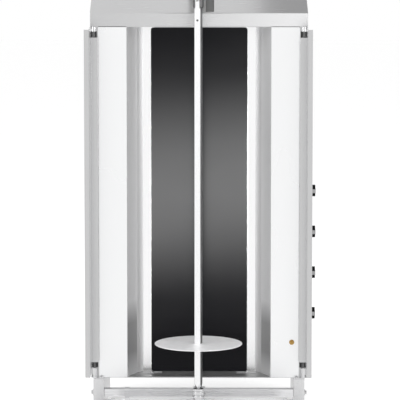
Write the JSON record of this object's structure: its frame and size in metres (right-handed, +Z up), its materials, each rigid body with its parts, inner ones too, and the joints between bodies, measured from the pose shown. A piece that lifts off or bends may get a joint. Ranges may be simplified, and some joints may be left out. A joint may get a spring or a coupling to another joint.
{
  "type": "vertical rotisserie grill",
  "caption": "Upright electric rotisserie grill: a motor-driven vertical spit with a meat plate turns before a heated black glass wall between hinged side wings, over a pull-out drip tray.",
  "frame": {"origin": "on the floor, below the middle of the whole object's box", "axes": "+Z up, the grill opens towards -Y, +X is the side with the knobs"},
  "size_m": [0.584, 0.678, 1.2143],
  "materials": {
    "brushed_steel": "brushed along the length",
    "bright_steel": "bright rolled sheet",
    "mirror_steel": "polished reflector sheet",
    "dark_steel": "smooth, dulled by heat",
    "black_glass": "gloss ceramic glass, opaque black",
    "ceramic": "pressed fibre",
    "rubber": "matt",
    "brass": "turned",
    "black_plastic": "gloss",
    "grey_plastic": "matt",
    "cream_plastic": "matt",
    "motor_paint": "hammer paint",
    "chrome": "polished"
  },
  "bodies": {
    "housing": {"left_cheek": "brushed_steel", "right_cheek": "brushed_steel", "rear_cross_member": "brushed_steel", "left_tray_runner": "brushed_steel", "right_tray_runner": "brushed_steel", "feet": "rubber", "bottom_panel": "brushed_steel", "recess_floor": "dark_steel", "left_side_panel": "brushed_steel", "right_side_panel": "brushed_steel", "left_front_panel": "bright_steel", "right_front_panel": "bright_steel", "left_reflector": "mirror_steel", "right_reflector": "mirror_steel", "glass_panel": "black_glass", "heater_1": "ceramic", "heater_2": "ceramic", "heater_3": "ceramic", "heater_4": "ceramic", "heater_rails": "brushed_steel", "insulation": "ceramic", "back_panel": "brushed_steel", "hood": "bright_steel", "recess_ceiling": "mirror_steel", "slot_guide": "dark_steel", "deck_rails": "brushed_steel", "upper_left_hinge": "bright_steel", "upper_right_hinge": "bright_steel", "lower_left_hinge": "bright_steel", "lower_right_hinge": "bright_steel", "regulator_1": "cream_plastic", "regulator_2": "cream_plastic", "regulator_3": "cream_plastic", "regulator_4": "cream_plastic", "terminal_block": "cream_plastic", "cable_gland": "grey_plastic", "bonding_stud": "brass", "panel_screws": "chrome", "cross_bar": "brushed_steel", "bar_collar": "brushed_steel", "bar_bolts": "chrome"},
    "spit": {"spit": "chrome", "meat_plate": "bright_steel", "plate_hub": "brushed_steel", "hub_screw": "chrome", "coupling_sleeve": "chrome"},
    "motor_carriage": {"carriage_plate": "brushed_steel", "gear_motor": "motor_paint", "motor_cover": "brushed_steel", "carriage_handle": "black_plastic"},
    "switch": {"motor_switch": "black_plastic"},
    "bearing_slide": {"bearing_arm": "brushed_steel", "bearing_cup": "chrome"},
    "left_wing": {"left_wing": "brushed_steel"},
    "right_wing": {"right_wing": "brushed_steel"},
    "knob_1": {"knob_1": "black_plastic"},
    "knob_2": {"knob_2": "black_plastic"},
    "knob_3": {"knob_3": "black_plastic"},
    "knob_4": {"knob_4": "black_plastic"},
    "drip_tray": {"drip_tray": "brushed_steel"}
  },
  "joints": [
    {"name": "carriage_slide", "type": "slide", "parent": "housing", "child": "motor_carriage", "axis": [0, 1, 0], "range_m": [-0.06, 0.06]},
    {"name": "bearing_arm_slide", "type": "slide", "parent": "housing", "child": "bearing_slide", "axis": [0, 1, 0], "range_m": [-0.06, 0.06]},
    {"name": "spit_spin", "type": "hinge", "parent": "motor_carriage", "child": "spit", "pos_m": [-0.007, -0.229, 0.6], "axis": [0, 0, 1], "continuous": true},
    {"name": "switch_rock", "type": "hinge", "parent": "motor_carriage", "child": "switch", "pos_m": [0.033, -0.282, 1.1703], "axis": [1, 0, 0], "range_deg": [0, 12]},
    {"name": "left_wing_swing", "type": "hinge", "parent": "housing", "child": "left_wing", "pos_m": [-0.273, -0.088, 0.56], "axis": [0, 0, -1], "range_deg": [-30, 90]},
    {"name": "right_wing_swing", "type": "hinge", "parent": "housing", "child": "right_wing", "pos_m": [0.259, -0.088, 0.56], "axis": [0, 0, 1], "range_deg": [-30, 90]},
    {"name": "knob_1_turn", "type": "hinge", "parent": "housing", "child": "knob_1", "pos_m": [0.2693, -0.009, 0.27], "axis": [1, 0, 0], "range_deg": [0, 270]},
    {"name": "knob_2_turn", "type": "hinge", "parent": "housing", "child": "knob_2", "pos_m": [0.2693, -0.009, 0.376], "axis": [1, 0, 0], "range_deg": [0, 270]},
    {"name": "knob_3_turn", "type": "hinge", "parent": "housing", "child": "knob_3", "pos_m": [0.2693, -0.009, 0.482], "axis": [1, 0, 0], "range_deg": [0, 270]},
    {"name": "knob_4_turn", "type": "hinge", "parent": "housing", "child": "knob_4", "pos_m": [0.2693, -0.009, 0.588], "axis": [1, 0, 0], "range_deg": [0, 270]},
    {"name": "tray_slide", "type": "slide", "parent": "housing", "child": "drip_tray", "axis": [0, -1, 0], "range_m": [0, 0.22]}
  ],
  "couplings": [
    {"joint": "bearing_arm_slide", "follows": "carriage_slide", "ratio": 1}
  ]
}
